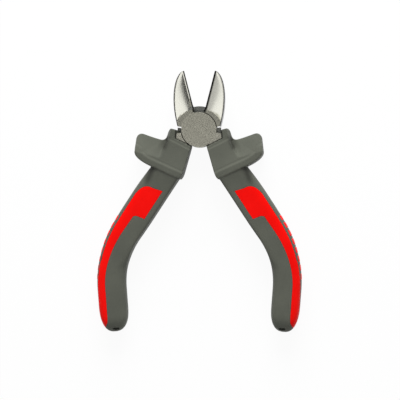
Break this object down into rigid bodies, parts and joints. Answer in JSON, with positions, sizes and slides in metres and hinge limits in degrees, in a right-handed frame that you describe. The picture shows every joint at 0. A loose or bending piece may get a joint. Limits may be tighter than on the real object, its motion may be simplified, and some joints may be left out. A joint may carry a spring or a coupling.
{
  "type": "side cutters",
  "caption": "Small diagonal side cutters: two forged steel halves on a riveted lap joint, with curved grey and red moulded grips and flared finger guards.",
  "frame": {"origin": "on the pivot axis, in the plane of the front joint face", "axes": "+Z along the pivot axis out of the front joint face, +Y towards the jaw tips, +X to the right, towards the front half's handle"},
  "size_m": [0.086, 0.1097, 0.0132],
  "materials": {
    "forged_steel": "blasted grey at the joint, ground bright on the jaws",
    "rivet_steel": "turned, satin",
    "grip_grey": "fine-grained matte moulding",
    "grip_red": "soft satin moulding"
  },
  "bodies": {
    "front_half": {"front_half_forging": "forged_steel", "pivot_rivet": "rivet_steel", "right_grip_body": "grip_grey", "right_grip_inlay": "grip_red", "right_grip_rib_1": "grip_red", "right_grip_rib_2": "grip_red", "right_grip_rib_3": "grip_red", "right_grip_rib_4": "grip_red", "right_grip_rib_5": "grip_red", "right_grip_rib_6": "grip_red", "right_grip_rib_7": "grip_red", "right_grip_rib_8": "grip_red"},
    "rear_half": {"rear_half_forging": "forged_steel", "left_grip_body": "grip_grey", "left_grip_inlay": "grip_red", "left_grip_rib_1": "grip_red", "left_grip_rib_2": "grip_red", "left_grip_rib_3": "grip_red", "left_grip_rib_4": "grip_red", "left_grip_rib_5": "grip_red", "left_grip_rib_6": "grip_red", "left_grip_rib_7": "grip_red", "left_grip_rib_8": "grip_red"}
  },
  "joints": [
    {"name": "jaw_pivot", "type": "hinge", "parent": "front_half", "child": "rear_half", "pos_m": [0, 0, -0.004], "axis": [0, 0, 1], "range_deg": [-3, 28.7]}
  ]
}
